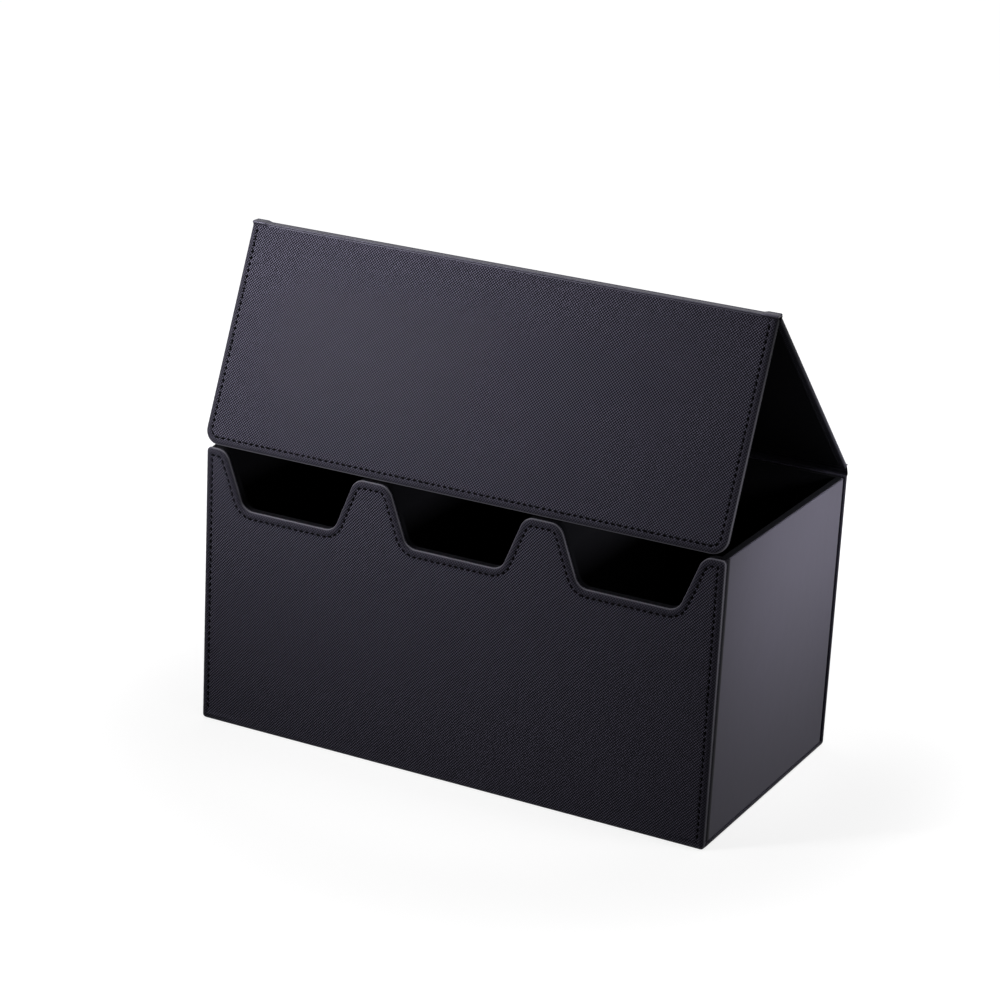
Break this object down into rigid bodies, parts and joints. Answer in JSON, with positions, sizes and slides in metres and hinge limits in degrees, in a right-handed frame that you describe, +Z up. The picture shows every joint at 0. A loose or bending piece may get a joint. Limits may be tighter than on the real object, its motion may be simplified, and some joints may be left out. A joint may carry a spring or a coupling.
{
  "type": "card storage box",
  "caption": "Leatherette-covered card box with a notched front, divided tray, hinged lid and folding front flap held by hidden magnets; keeps graded cards in rows.",
  "frame": {"origin": "middle of the base's underside, under the middle of the box without lid and flap", "axes": "+X along the front to the right, +Y from front to back, +Z up"},
  "size_m": [0.291, 0.1572, 0.2606],
  "materials": {
    "leatherette": "satin black leatherette with a fine embossed weave",
    "side_leatherette": "satin smooth black leatherette",
    "board": "matte solid grey board",
    "lining": "matte black flocked lining",
    "magnet": "satin nickel"
  },
  "bodies": {
    "box": {"front_cover": "leatherette", "base_cover": "leatherette", "back_cover": "leatherette", "right_side_cover": "side_leatherette", "left_side_cover": "side_leatherette", "front_board": "board", "base_board": "board", "back_board": "board", "tray_front_wall": "board", "tray_back_wall": "board", "tray_right_wall": "board", "tray_left_wall": "board", "tray_floor": "board", "left_divider_board": "board", "right_divider_board": "board", "front_lining": "lining", "back_lining": "lining", "right_lining": "lining", "left_lining": "lining", "floor_lining": "lining", "left_divider_lining": "lining", "right_divider_lining": "lining", "front_magnets": "magnet"},
    "rear_strip": {"rear_hinge_strip": "leatherette"},
    "lid": {"lid_cover": "leatherette", "lid_board": "board", "lid_lining": "lining"},
    "ridge_strip": {"ridge_hinge_strip": "leatherette"},
    "flap": {"flap_cover": "leatherette", "flap_board": "board", "flap_lining": "lining", "flap_magnets": "magnet"}
  },
  "joints": [
    {"name": "lid_close", "type": "hinge", "parent": "box", "child": "rear_strip", "pos_m": [0, 0.07705, 0.15134], "axis": [-1, 0, 0], "range_deg": [-44, 0]},
    {"name": "lid_open", "type": "hinge", "parent": "rear_strip", "child": "lid", "pos_m": [0, 0.07468, 0.15642], "axis": [-1, 0, 0], "range_deg": [0, 136]},
    {"name": "flap_follow", "type": "hinge", "parent": "lid", "child": "ridge_strip", "pos_m": [0, -0.03254, 0.25997], "axis": [-1, 0, 0], "range_deg": [0, 22]},
    {"name": "flap_swing", "type": "hinge", "parent": "ridge_strip", "child": "flap", "pos_m": [0, -0.03654, 0.25997], "axis": [-1, 0, 0], "range_deg": [0, 180]}
  ],
  "couplings": [
    {"joint": "flap_follow", "follows": "lid_close", "ratio": -0.5}
  ]
}
